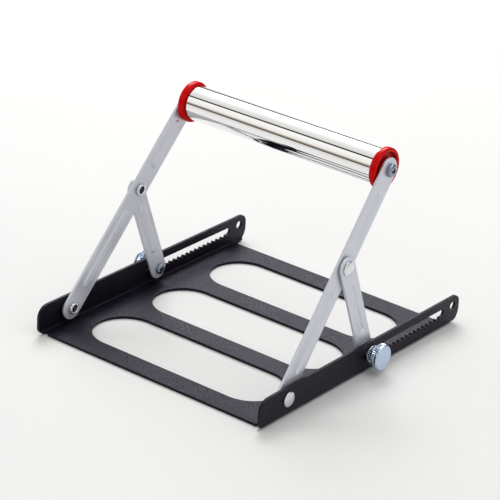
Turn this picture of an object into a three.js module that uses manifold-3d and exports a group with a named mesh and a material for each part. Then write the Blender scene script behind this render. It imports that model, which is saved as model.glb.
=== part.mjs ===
// Folding roller stand: a slotted sheet channel, a pair of leaning arms with a free roller at the top,
// and a pair of struts whose lower ends are clamped along toothed slots in the channel's flanges.
// X runs along the roller, Y from the arm pivots to the rear, Z up. Millimetres and degrees.
import * as THREE from 'three';
import { mergeVertices } from 'three/addons/utils/BufferGeometryUtils.js';
import Module from 'manifold-3d';

const wasm = await Module();
wasm.setup();

// Channel
const WIDTH = 200;
const SHEET = 2;
const BEND_OUTER = 3.2;
const FLANGE_HEIGHT = 21.9;
const FLANGE_FRONT = -4.2;
const FLANGE_REAR = 227;
const FLOOR_LENGTH = 213;
const FLOOR_HALF = 96.8;
const WINDOW_COUNT = 3;
const WINDOW_BAR = 17.25;
const WINDOW_LENGTH = 48;
const WINDOW_HALF = 80.65;
const FRONT_TOP_RADIUS = 9;
const FRONT_LOW_RADIUS = 6;
const REAR_TOP_RADIUS = 7;
const REAR_LOW_RADIUS = 10.5;
const CORNER_RELIEF = { x: 95.2, y: 0.4, r: 1.7 };
const HANG_HOLE = { y: 218.9, z: 14.5, r: 3.2 };

// Toothed slot in each flange
const SLOT_FRONT = 110.3;
const SLOT_REAR = 207.9;
const SLOT_TOP = 16;
const TOOTH_TIP = 10.6;
const TOOTH_DEPTH = 1.5;
const TOOTH_PITCH = 5;
const TOOTH_COUNT = 18;

// Linkage points in the YZ plane, in the raised position
const PIVOT = { y: 26.5, z: 12.6 };
const AXLE = { y: 139.5, z: 141.3 };
const STRUT_SHARE = 0.568;
const CLAMP = { y: 119.3, z: 12.7 };

// Arms and struts: flat bars with pressed ribs
const BAR_SHEET = 2;
const ARM_RADIUS = 8.8;
const ARM_FACE_LOW = 96.2;
const ARM_FACE_TOP = 89.6;
const STRUT_FACE = 95.5;
const STRUT_RADIUS = 8;
const STRUT_FOOT_RADIUS = 7.8;
const RIB_HALF = 3.5;
const RIB_DEPTH = 0.9;
const RIB_FLOOR_HALF = 2.1;
const ARM_RIB_LOW = [17.5, 79.5];
const ARM_RIB_TOP = [116, 154.5];
const STRUT_RIB = [17, 61.5];

// Rivets, screws and washers
const GAP = 0.3;
const RIVET_SHANK = 3;
const RIVET_HOLE = 3.4;
const RIVET_HEAD = 5.5;
const RIVET_DOME = 1.6;
const RIVET_ROLL = 4.45;
const RIVET_BORE = 2.7;
const WASHER_RADIUS = 5.4;
const CLAMP_SHANK = 1.8;
const CLAMP_HOLE = 2.5;
const CLAMP_HEAD = 3.9;
const CLAMP_HEAD_HEIGHT = 3;
const SLOT_WASHER = 7;
const KNOB_WASHER = 6.2;
const AXLE_SHANK = 2.4;
const AXLE_HOLE = 3;
const AXLE_HEAD = 4.7;
const AXLE_HEAD_HEIGHT = 3.1;

// Knob
const KNOB_RADIUS = 9.3;
const KNOB_BOSS = 5.2;
const KNOB_BACK = 101.7;
const KNURL_BACK = 105.6;
const KNURL_FRONT = 108.6;
const DISC_BACK = 109.3;
const KNOB_FRONT = 110.9;
const KNURL_TEETH = 38;
const KNURL_DEPTH = 0.55;

// Roller
const TUBE_RADIUS = 12.7;
const TUBE_BORE = 11.2;
const TUBE_HALF = 81.5;
const CAP_RADIUS = 15;
const CAP_SHOULDER = 81.8;
const CAP_FACE = 87.1;
const CAP_HUB = 85.7;
const CAP_DISH = 84.2;
const CAP_PLUG = 68;
const AXLE_ROD_RADIUS = 4;
const AXLE_ROD_HALF = 87.3;
const AXLE_ROD_TAP = 2.7;
const AXLE_ROD_TAP_DEPTH = 14;

const armRise = Math.atan2(AXLE.z - PIVOT.z, AXLE.y - PIVOT.y);
const armLength = Math.hypot(AXLE.y - PIVOT.y, AXLE.z - PIVOT.z);
const armLean = Math.atan2(ARM_FACE_LOW - ARM_FACE_TOP, armLength);
const elbow = armLength * STRUT_SHARE;
const ELBOW = {
  y: PIVOT.y + elbow * Math.cos(armRise),
  z: PIVOT.z + elbow * Math.sin(armRise),
};
const ARM_FACE_ELBOW = ARM_FACE_LOW + (ARM_FACE_TOP - ARM_FACE_LOW) * STRUT_SHARE;
const strutLength = Math.hypot(CLAMP.y - ELBOW.y, CLAMP.z - ELBOW.z);
const strutFall = Math.atan2(CLAMP.z - ELBOW.z, CLAMP.y - ELBOW.y);

// Solids and geometry

function toSolid(geometry) {
  const bare = geometry.clone();
  bare.deleteAttribute('normal');
  bare.deleteAttribute('uv');
  const welded = mergeVertices(bare, 1e-4);
  const index = welded.index.array;
  const faces = [];
  for (let i = 0; i < index.length; i += 3) {
    const [a, b, c] = [index[i], index[i + 1], index[i + 2]];
    if (a !== b && b !== c && c !== a) faces.push(a, b, c);
  }
  const vertProperties = new Float32Array(welded.attributes.position.array);
  const solid = new wasm.Manifold(new wasm.Mesh({ numProp: 3, vertProperties, triVerts: new Uint32Array(faces) }));
  if (solid.volume() >= 0) return solid;
  const turned = new Uint32Array(faces.length);
  for (let i = 0; i < faces.length; i += 3) turned.set([faces[i], faces[i + 2], faces[i + 1]], i);
  return new wasm.Manifold(new wasm.Mesh({ numProp: 3, vertProperties, triVerts: turned }));
}

function toGeometry(solid) {
  const mesh = solid.getMesh();
  const geometry = new THREE.BufferGeometry();
  geometry.setAttribute('position', new THREE.BufferAttribute(new Float32Array(mesh.vertProperties), 3));
  geometry.setIndex(new THREE.BufferAttribute(new Uint32Array(mesh.triVerts), 1));
  geometry.computeVertexNormals();
  return geometry;
}

// Mirror image across the YZ plane for the left side
function onSide(geometry, side) {
  if (side > 0) return geometry;
  const copy = geometry.clone();
  copy.scale(-1, 1, 1);
  const index = copy.index.array;
  for (let i = 0; i < index.length; i += 3) {
    const swap = index[i + 1];
    index[i + 1] = index[i + 2];
    index[i + 2] = swap;
  }
  copy.computeVertexNormals();
  return copy;
}

// Profile of radius and height turned about the X axis
function turned(profile, segments) {
  const points = profile.map(([r, x]) => new THREE.Vector2(r, x));
  const geometry = new THREE.LatheGeometry(points, segments);
  geometry.rotateZ(-Math.PI / 2);
  return geometry;
}

function ring(inner, outer, from, to, segments) {
  return turned([[inner, from], [outer, from], [outer, to], [inner, to], [inner, from]], segments);
}

// Outline drawn in Y and Z, extruded along X between two values
function sideExtrude(shape, from, to, curveSegments = 8) {
  const geometry = new THREE.ExtrudeGeometry(shape, { depth: to - from, bevelEnabled: false, curveSegments });
  geometry.applyMatrix4(new THREE.Matrix4().makeBasis(
    new THREE.Vector3(0, 1, 0),
    new THREE.Vector3(0, 0, 1),
    new THREE.Vector3(1, 0, 0),
  ));
  geometry.translate(from, 0, 0);
  return geometry;
}

function boxSolid(x0, x1, y0, y1, z0, z1) {
  const geometry = new THREE.BoxGeometry(x1 - x0, y1 - y0, z1 - z0);
  geometry.translate((x0 + x1) / 2, (y0 + y1) / 2, (z0 + z1) / 2);
  return toSolid(geometry);
}

function circleHole(y, z, r) {
  const path = new THREE.Path();
  path.absarc(y, z, r, 0, Math.PI * 2, false);
  return path;
}

// Base channel

function channelSection() {
  const half = WIDTH / 2;
  const inner = BEND_OUTER - SHEET;
  const section = new THREE.Shape();
  section.moveTo(-half, FLANGE_HEIGHT);
  section.lineTo(-half, BEND_OUTER);
  section.absarc(-half + BEND_OUTER, BEND_OUTER, BEND_OUTER, Math.PI, Math.PI * 1.5, false);
  section.lineTo(half - BEND_OUTER, 0);
  section.absarc(half - BEND_OUTER, BEND_OUTER, BEND_OUTER, Math.PI * 1.5, Math.PI * 2, false);
  section.lineTo(half, FLANGE_HEIGHT);
  section.lineTo(half - SHEET, FLANGE_HEIGHT);
  section.lineTo(half - SHEET, BEND_OUTER);
  section.absarc(half - BEND_OUTER, BEND_OUTER, inner, 0, -Math.PI / 2, true);
  section.lineTo(-half + BEND_OUTER, SHEET);
  section.absarc(-half + BEND_OUTER, BEND_OUTER, inner, -Math.PI / 2, -Math.PI, true);
  section.lineTo(-half + SHEET, FLANGE_HEIGHT);
  section.closePath();
  return section;
}

function flangeOutline() {
  const outline = new THREE.Shape();
  outline.moveTo(FLANGE_FRONT, FRONT_LOW_RADIUS);
  outline.absarc(FLANGE_FRONT + FRONT_LOW_RADIUS, FRONT_LOW_RADIUS, FRONT_LOW_RADIUS,
    Math.PI, Math.PI * 1.5, false);
  outline.lineTo(FLANGE_REAR - REAR_LOW_RADIUS, 0);
  outline.absarc(FLANGE_REAR - REAR_LOW_RADIUS, REAR_LOW_RADIUS, REAR_LOW_RADIUS,
    Math.PI * 1.5, Math.PI * 2, false);
  outline.lineTo(FLANGE_REAR, FLANGE_HEIGHT - REAR_TOP_RADIUS);
  outline.absarc(FLANGE_REAR - REAR_TOP_RADIUS, FLANGE_HEIGHT - REAR_TOP_RADIUS, REAR_TOP_RADIUS,
    0, Math.PI / 2, false);
  outline.lineTo(FLANGE_FRONT + FRONT_TOP_RADIUS, FLANGE_HEIGHT);
  outline.absarc(FLANGE_FRONT + FRONT_TOP_RADIUS, FLANGE_HEIGHT - FRONT_TOP_RADIUS, FRONT_TOP_RADIUS,
    Math.PI / 2, Math.PI, false);
  outline.closePath();
  return outline;
}

// Slot with a plain upper edge and ratchet teeth below: each tooth falls towards the rear and ends in a stop
function rackOutline() {
  const radius = (SLOT_TOP - TOOTH_TIP) / 2;
  const centre = TOOTH_TIP + radius;
  const start = SLOT_FRONT + radius;
  const outline = new THREE.Shape();
  outline.moveTo(start, TOOTH_TIP);
  for (let i = 0; i < TOOTH_COUNT; i += 1) {
    const y = start + i * TOOTH_PITCH;
    outline.lineTo(y + 0.5, TOOTH_TIP);
    outline.lineTo(y + TOOTH_PITCH * 0.62, TOOTH_TIP - TOOTH_DEPTH * 0.85);
    outline.lineTo(y + TOOTH_PITCH * 0.76, TOOTH_TIP - TOOTH_DEPTH);
    outline.lineTo(y + TOOTH_PITCH * 0.9, TOOTH_TIP - TOOTH_DEPTH * 0.8);
    outline.lineTo(y + TOOTH_PITCH, TOOTH_TIP);
  }
  outline.lineTo(SLOT_REAR - radius, TOOTH_TIP);
  outline.absarc(SLOT_REAR - radius, centre, radius, -Math.PI / 2, Math.PI / 2, false);
  outline.lineTo(start, SLOT_TOP);
  outline.absarc(start, centre, radius, Math.PI / 2, Math.PI * 1.5, false);
  return outline;
}

function windowOutline(front) {
  const radius = WINDOW_LENGTH / 2;
  const reach = WINDOW_HALF - radius;
  const outline = new THREE.Shape();
  outline.absarc(reach, front + radius, radius, -Math.PI / 2, Math.PI / 2, false);
  outline.absarc(-reach, front + radius, radius, Math.PI / 2, Math.PI * 1.5, false);
  outline.closePath();
  return outline;
}

function baseChannel() {
  const run = new THREE.ExtrudeGeometry(channelSection(), {
    depth: FLANGE_REAR - FLANGE_FRONT,
    bevelEnabled: false,
    curveSegments: 3,
  });
  run.applyMatrix4(new THREE.Matrix4().makeBasis(
    new THREE.Vector3(-1, 0, 0),
    new THREE.Vector3(0, 0, 1),
    new THREE.Vector3(0, 1, 0),
  ));
  run.translate(0, FLANGE_FRONT, 0);
  const channel = toSolid(run);
  const half = WIDTH / 2;
  const profile = toSolid(sideExtrude(flangeOutline(), -half - 1, half + 1, 5));
  const inner = FLOOR_HALF - 0.2;
  const middle = boxSolid(-inner, inner, FLANGE_FRONT - 1, FLANGE_REAR + 1, -1, FLANGE_HEIGHT + 1);
  const flanges = channel.intersect(profile).subtract(middle);
  const floor = channel.intersect(boxSolid(-FLOOR_HALF, FLOOR_HALF, 0, FLOOR_LENGTH, -1, FLANGE_HEIGHT + 1));
  let base = flanges.add(floor);
  for (let i = 0; i < WINDOW_COUNT; i += 1) {
    const front = WINDOW_BAR + i * (WINDOW_BAR + WINDOW_LENGTH);
    const cut = new THREE.ExtrudeGeometry(windowOutline(front), {
      depth: SHEET + 2,
      bevelEnabled: false,
      curveSegments: 12,
    });
    cut.translate(0, 0, -1);
    base = base.subtract(toSolid(cut));
  }
  for (const side of [-1, 1]) {
    const relief = new THREE.CylinderGeometry(CORNER_RELIEF.r, CORNER_RELIEF.r, SHEET * 2, 16);
    relief.rotateX(Math.PI / 2);
    relief.translate(side * CORNER_RELIEF.x, CORNER_RELIEF.y, SHEET / 2);
    base = base.subtract(toSolid(relief));
  }
  base = base.subtract(toSolid(sideExtrude(rackOutline(), -half - 1, half + 1, 4)));
  for (const { y, z, r } of [{ ...PIVOT, r: RIVET_HOLE }, HANG_HOLE]) {
    const disc = new THREE.Shape();
    disc.absarc(y, z, r, 0, Math.PI * 2, false);
    base = base.subtract(toSolid(sideExtrude(disc, -half - 1, half + 1, 8)));
  }
  return toGeometry(base);
}

// Bars

// Round-ended bar along Y with its outer face at X zero and its thickness towards negative X
function barOutline(length, startRadius, endRadius, holes) {
  const tangent = Math.PI / 2 - Math.asin((startRadius - endRadius) / length);
  const outline = new THREE.Shape();
  outline.absarc(length, 0, endRadius, -tangent, tangent, false);
  outline.absarc(0, 0, startRadius, tangent, Math.PI * 2 - tangent, false);
  outline.closePath();
  for (const [at, r] of holes) outline.holes.push(circleHole(at, 0, r));
  return outline;
}

// Pressed rib: widest at X zero, its sides drawn in towards negative X
function ribSolid([from, to]) {
  const outline = new THREE.Shape();
  const r = RIB_FLOOR_HALF;
  const grow = RIB_HALF - RIB_FLOOR_HALF;
  outline.absarc(to - RIB_HALF, 0, r, -Math.PI / 2, Math.PI / 2, false);
  outline.absarc(from + RIB_HALF, 0, r, Math.PI / 2, Math.PI * 1.5, false);
  outline.closePath();
  const geometry = new THREE.ExtrudeGeometry(outline, {
    depth: 0.2,
    bevelEnabled: true,
    bevelThickness: RIB_DEPTH,
    bevelSize: grow,
    bevelSegments: 2,
    curveSegments: 4,
  });
  geometry.applyMatrix4(new THREE.Matrix4().makeBasis(
    new THREE.Vector3(0, 1, 0),
    new THREE.Vector3(0, 0, 1),
    new THREE.Vector3(1, 0, 0),
  ));
  return toSolid(geometry);
}

function ribbedBar(outline, ribs) {
  let bar = toSolid(sideExtrude(outline, -BAR_SHEET, 0, 8));
  for (const span of ribs) {
    const rib = ribSolid(span);
    bar = bar.add(rib.translate([-BAR_SHEET, 0, 0])).subtract(rib);
  }
  return toGeometry(bar);
}

function armGeometry() {
  const holes = [[0, RIVET_HOLE], [elbow, RIVET_HOLE], [armLength, AXLE_HOLE]];
  return ribbedBar(barOutline(armLength, ARM_RADIUS, ARM_RADIUS, holes), [ARM_RIB_LOW, ARM_RIB_TOP]);
}

function strutGeometry() {
  const holes = [[0, RIVET_HOLE], [strutLength, CLAMP_HOLE]];
  return ribbedBar(barOutline(strutLength, STRUT_RADIUS, STRUT_FOOT_RADIUS, holes), [STRUT_RIB]);
}

// Fasteners

// Semi-tubular rivet: domed head outside, rolled hollow end inside
function rivetGeometry(inside, outside) {
  const roll = inside - GAP - 0.15;
  const seat = outside + GAP;
  return turned([
    [0, inside + 3.4],
    [RIVET_BORE, inside + 2.8],
    [RIVET_BORE, roll - 1.1],
    [RIVET_BORE + 0.5, roll - 1.7],
    [RIVET_BORE + 1.1, roll - 1.9],
    [RIVET_ROLL - 0.25, roll - 1.5],
    [RIVET_ROLL, roll - 0.8],
    [RIVET_ROLL - 0.3, roll],
    [RIVET_SHANK, roll],
    [RIVET_SHANK, seat],
    [RIVET_HEAD, seat],
    [RIVET_HEAD, seat + 0.3],
    [RIVET_HEAD * 0.85, seat + RIVET_DOME * 0.62],
    [RIVET_HEAD * 0.52, seat + RIVET_DOME * 0.9],
    [0, seat + RIVET_DOME],
  ], 18);
}

// Cross recess cut into a domed screw head between two X values
function crossRecess(from, to, span) {
  const blade = boxSolid(from, to, -span, span, -0.55, 0.55);
  return blade.add(boxSolid(from, to, -0.55, 0.55, -span, span));
}

function axleScrewGeometry() {
  const seat = ARM_FACE_TOP + GAP + 0.15;
  const screw = turned([
    [0, AXLE_ROD_HALF - AXLE_ROD_TAP_DEPTH + 1],
    [AXLE_SHANK, AXLE_ROD_HALF - AXLE_ROD_TAP_DEPTH + 1.8],
    [AXLE_SHANK, seat],
    [AXLE_HEAD, seat],
    [AXLE_HEAD, seat + AXLE_HEAD_HEIGHT * 0.6],
    [AXLE_HEAD * 0.92, seat + AXLE_HEAD_HEIGHT * 0.8],
    [AXLE_HEAD * 0.72, seat + AXLE_HEAD_HEIGHT * 0.93],
    [0, seat + AXLE_HEAD_HEIGHT],
  ], 24);
  return toGeometry(toSolid(screw).subtract(crossRecess(seat + AXLE_HEAD_HEIGHT - 1.4, seat + 5, 2.6)));
}

function clampScrewGeometry() {
  const seat = STRUT_FACE - BAR_SHEET - GAP;
  const screw = turned([
    [0, seat - CLAMP_HEAD_HEIGHT],
    [CLAMP_HEAD * 0.7, seat - CLAMP_HEAD_HEIGHT * 0.93],
    [CLAMP_HEAD * 0.92, seat - CLAMP_HEAD_HEIGHT * 0.78],
    [CLAMP_HEAD, seat - CLAMP_HEAD_HEIGHT * 0.55],
    [CLAMP_HEAD, seat],
    [CLAMP_SHANK, seat],
    [CLAMP_SHANK, STRUT_FACE],
    [0, STRUT_FACE],
  ], 20);
  return toGeometry(toSolid(screw).subtract(crossRecess(seat - 5, seat - CLAMP_HEAD_HEIGHT + 1.2, 2.1)));
}

function clampStudGeometry() {
  return turned([
    [0, STRUT_FACE + 0.4],
    [CLAMP_SHANK, STRUT_FACE + 0.4],
    [CLAMP_SHANK, DISC_BACK - 1],
    [CLAMP_SHANK - 0.6, DISC_BACK - 0.4],
    [0, DISC_BACK - 0.4],
  ], 20);
}

// Knurled knob: boss against the washer, toothed band, groove and a plain front disc with a bevelled rim
function knobGeometry() {
  const body = toSolid(turned([
    [0, KNOB_BACK],
    [KNOB_BOSS, KNOB_BACK],
    [KNOB_BOSS, KNURL_BACK + 0.2],
    [KNOB_RADIUS - 1.4, KNURL_BACK + 0.2],
    [KNOB_RADIUS - 1.4, DISC_BACK],
    [KNOB_RADIUS - 0.5, DISC_BACK],
    [KNOB_RADIUS - 0.1, DISC_BACK + 0.4],
    [KNOB_RADIUS - 0.1, KNOB_FRONT - 0.7],
    [KNOB_RADIUS - 0.9, KNOB_FRONT],
    [0, KNOB_FRONT],
  ], 28));
  const band = new THREE.Shape();
  for (let i = 0; i < KNURL_TEETH * 2; i += 1) {
    const r = i % 2 === 0 ? KNOB_RADIUS : KNOB_RADIUS - KNURL_DEPTH;
    const angle = (i * Math.PI) / KNURL_TEETH;
    if (i === 0) band.moveTo(r, 0);
    else band.lineTo(r * Math.cos(angle), r * Math.sin(angle));
  }
  band.closePath();
  const bore = turned([
    [0, KNOB_BACK - 1],
    [CLAMP_SHANK + GAP, KNOB_BACK - 1],
    [CLAMP_SHANK + GAP, DISC_BACK],
    [0, DISC_BACK],
  ], 20);
  return toGeometry(body.add(toSolid(sideExtrude(band, KNURL_BACK, KNURL_FRONT))).subtract(toSolid(bore)));
}

// Roller

function tubeGeometry() {
  return toGeometry(toSolid(turned([
    [TUBE_BORE, -TUBE_HALF],
    [TUBE_RADIUS - 0.3, -TUBE_HALF],
    [TUBE_RADIUS, -TUBE_HALF + 0.3],
    [TUBE_RADIUS, TUBE_HALF - 0.3],
    [TUBE_RADIUS - 0.3, TUBE_HALF],
    [TUBE_BORE, TUBE_HALF],
    [TUBE_BORE, -TUBE_HALF],
  ], 48)));
}

// Push-in end cap: plug inside the tube, rounded rim, dished outer face around the bearing hub
function capGeometry() {
  const bore = AXLE_ROD_RADIUS + GAP;
  const plug = TUBE_BORE - GAP;
  return toGeometry(toSolid(turned([
    [bore, CAP_PLUG],
    [plug - 0.7, CAP_PLUG],
    [plug, CAP_PLUG + 0.9],
    [plug, CAP_SHOULDER],
    [CAP_RADIUS - 1.1, CAP_SHOULDER],
    [CAP_RADIUS - 0.35, CAP_SHOULDER + 0.7],
    [CAP_RADIUS, CAP_SHOULDER + 1.9],
    [CAP_RADIUS, CAP_SHOULDER + 3.1],
    [CAP_RADIUS - 0.4, CAP_FACE - 1],
    [CAP_RADIUS - 1.3, CAP_FACE - 0.2],
    [CAP_RADIUS - 2.2, CAP_FACE],
    [CAP_RADIUS - 3, CAP_FACE - 0.5],
    [CAP_RADIUS - 3.5, CAP_DISH],
    [7.7, CAP_DISH],
    [7.2, CAP_HUB],
    [bore, CAP_HUB],
    [bore, CAP_PLUG],
  ], 36)));
}

function axleRodGeometry() {
  const tap = AXLE_ROD_HALF - AXLE_ROD_TAP_DEPTH;
  return toGeometry(toSolid(turned([
    [0, -tap],
    [AXLE_ROD_TAP, -tap],
    [AXLE_ROD_TAP, -AXLE_ROD_HALF],
    [AXLE_ROD_RADIUS, -AXLE_ROD_HALF],
    [AXLE_ROD_RADIUS, AXLE_ROD_HALF],
    [AXLE_ROD_TAP, AXLE_ROD_HALF],
    [AXLE_ROD_TAP, tap],
    [0, tap],
  ], 18)));
}

// Finishes

const finish = (color, roughness, metalness) => () => new THREE.MeshStandardMaterial({
  color,
  roughness,
  metalness,
});
const blackCoat = finish(0x2a2a30, 0.55, 0.1);
const greyCoat = finish(0xbabcc6, 0.42, 0.35);
const zinc = finish(0xc3c9d2, 0.3, 0.9);
const blueZinc = finish(0xa9b6d0, 0.32, 0.85);
const brightSteel = finish(0xd8d8d6, 0.12, 1);
const redPlastic = finish(0xc4080d, 0.25, 0);
const plainSteel = finish(0x8f9196, 0.45, 0.9);

// Assembly

const stand = new THREE.Group();
stand.name = 'folding_roller_stand';
stand.position.y = -(FLANGE_FRONT + FLANGE_REAR) / 2;

function piece(parent, name, geometry, material) {
  const mesh = new THREE.Mesh(geometry, material());
  mesh.name = name;
  parent.add(mesh);
  return mesh;
}

function station(y, z) {
  const group = new THREE.Group();
  group.position.set(0, y, z);
  stand.add(group);
  return group;
}

piece(stand, 'base_channel', baseChannel(), blackCoat);

const half = WIDTH / 2;
const strutBack = STRUT_FACE - BAR_SHEET;
const pivotStation = station(PIVOT.y, PIVOT.z);
const elbowStation = station(ELBOW.y, ELBOW.z);
const clampStation = station(CLAMP.y, CLAMP.z);
const axleStation = station(AXLE.y, AXLE.z);
const solidOf = (geometry) => toGeometry(toSolid(geometry));

const pivotRivet = solidOf(rivetGeometry(ARM_FACE_LOW - BAR_SHEET, half));
const pivotWasher = solidOf(ring(RIVET_HOLE, WASHER_RADIUS, ARM_FACE_LOW + 0.5, half - SHEET - GAP, 16));
const strutRivet = solidOf(rivetGeometry(ARM_FACE_ELBOW - BAR_SHEET, STRUT_FACE));
const strutWasher = solidOf(ring(RIVET_HOLE, WASHER_RADIUS, ARM_FACE_ELBOW + 0.36, strutBack - GAP, 16));
const innerWasher = solidOf(ring(CLAMP_SHANK + GAP, SLOT_WASHER, STRUT_FACE + 0.6, half - SHEET - GAP, 16));
const outerWasher = solidOf(ring(CLAMP_SHANK + GAP, KNOB_WASHER, half + GAP, KNOB_BACK - GAP, 20));
const thrustWasher = solidOf(ring(AXLE_ROD_RADIUS + GAP, 6.8, CAP_HUB + GAP, CAP_HUB + GAP + 0.9, 20));
const clampScrew = clampScrewGeometry();
const clampStud = solidOf(clampStudGeometry());
const knob = knobGeometry();
const cap = capGeometry();
const axleScrew = axleScrewGeometry();
const arm = armGeometry();
const strut = strutGeometry();

for (const [word, side] of [['left', -1], ['right', 1]]) {
  piece(pivotStation, `${word}_pivot_rivet`, onSide(pivotRivet, side), zinc);
  piece(pivotStation, `${word}_pivot_washer`, onSide(pivotWasher, side), zinc);

  const armGroup = new THREE.Group();
  armGroup.position.x = side * ARM_FACE_LOW;
  armGroup.rotation.x = armRise;
  pivotStation.add(armGroup);
  piece(armGroup, `${word}_arm`, onSide(arm, side), greyCoat).rotation.z = side * armLean;

  piece(elbowStation, `${word}_strut_rivet`, onSide(strutRivet, side), zinc);
  piece(elbowStation, `${word}_strut_washer`, onSide(strutWasher, side), zinc);
  const strutGroup = new THREE.Group();
  strutGroup.position.x = side * STRUT_FACE;
  strutGroup.rotation.x = strutFall;
  elbowStation.add(strutGroup);
  piece(strutGroup, `${word}_strut`, onSide(strut, side), greyCoat);

  piece(clampStation, `${word}_clamp_screw`, onSide(clampScrew, side), zinc);
  piece(clampStation, `${word}_clamp_stud`, onSide(clampStud, side), zinc);
  piece(clampStation, `${word}_inner_washer`, onSide(innerWasher, side), zinc);
  piece(clampStation, `${word}_outer_washer`, onSide(outerWasher, side), zinc);
  piece(clampStation, `${word}_knob`, onSide(knob, side), blueZinc);

  piece(axleStation, `${word}_end_cap`, onSide(cap, side), redPlastic);
  piece(axleStation, `${word}_thrust_washer`, onSide(thrustWasher, side), zinc);
  piece(axleStation, `${word}_axle_screw`, onSide(axleScrew, side), zinc);
}

piece(axleStation, 'roller_tube', tubeGeometry(), brightSteel);
piece(axleStation, 'axle_rod', axleRodGeometry(), plainSteel);

export default stand;
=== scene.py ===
"""Dress of the folding roller stand: finishes, turned metalware, pressed bars, studio and camera."""

import logging
import math
from dataclasses import dataclass, field
from enum import Enum
from typing import Callable, Dict, List, Optional, Sequence, Tuple, Union

import bmesh
import bpy
import numpy as np
from mathutils import Matrix, Vector

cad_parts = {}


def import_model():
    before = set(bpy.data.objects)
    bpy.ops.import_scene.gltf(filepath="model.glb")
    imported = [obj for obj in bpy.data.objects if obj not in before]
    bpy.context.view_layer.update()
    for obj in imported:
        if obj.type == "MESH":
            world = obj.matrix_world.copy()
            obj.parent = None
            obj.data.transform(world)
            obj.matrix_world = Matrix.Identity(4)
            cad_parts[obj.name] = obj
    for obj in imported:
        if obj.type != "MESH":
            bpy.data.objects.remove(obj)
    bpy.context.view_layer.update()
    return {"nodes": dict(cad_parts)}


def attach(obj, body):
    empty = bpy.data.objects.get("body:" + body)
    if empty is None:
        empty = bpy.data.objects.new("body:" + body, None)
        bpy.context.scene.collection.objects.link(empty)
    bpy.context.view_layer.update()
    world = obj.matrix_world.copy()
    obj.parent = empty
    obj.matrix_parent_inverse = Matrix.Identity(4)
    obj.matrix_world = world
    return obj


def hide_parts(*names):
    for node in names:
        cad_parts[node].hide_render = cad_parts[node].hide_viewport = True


LOG = logging.getLogger("roller_stand")
# Metres in a millimetre
MM = 0.001
# Radians in a full turn
TURN = 2 * math.pi
# From the floor's front edge to the frame's origin along Y, in millimetres
Y_SHIFT = -111.4
# Points of a new piece nearer than this are one point, in metres
MERGE = 1e-7
# Where the middle range of a noise factor starts and ends
NOISE_LOW, NOISE_HIGH = 0.3, 0.7
# Rays that a rounded normal and a hollow's openness are found from
BEVEL_SAMPLES, HOLLOW_SAMPLES = 6, 8

Pair = Tuple[float, float]
Triple = Tuple[float, float, float]
Colour = Triple
Profile = Sequence[Triple]
Stops = Sequence[Tuple[float, Colour]]
Amount = Union[float, np.ndarray]
Wave = Callable[[np.ndarray, np.ndarray, np.ndarray], np.ndarray]
Socket = bpy.types.NodeSocket
Inputs = Dict[Union[str, int], object]
Material = bpy.types.Material
Piece = bpy.types.Object


class Side(Enum):
    """The two mirror-image halves of the stand."""

    LEFT = -1
    RIGHT = 1

    @property
    def word(self) -> str:
        """Name of the side as the solids use it."""
        return self.name.lower()


class Slot(Enum):
    """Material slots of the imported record."""

    BLACK_COAT = "black_coat"
    GREY_COAT = "grey_coat"
    ZINC = "zinc"
    BLUE_ZINC = "blue_zinc"
    BRIGHT_STEEL = "bright_steel"
    PLAIN_STEEL = "plain_steel"
    RED_PLASTIC = "red_plastic"


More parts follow.
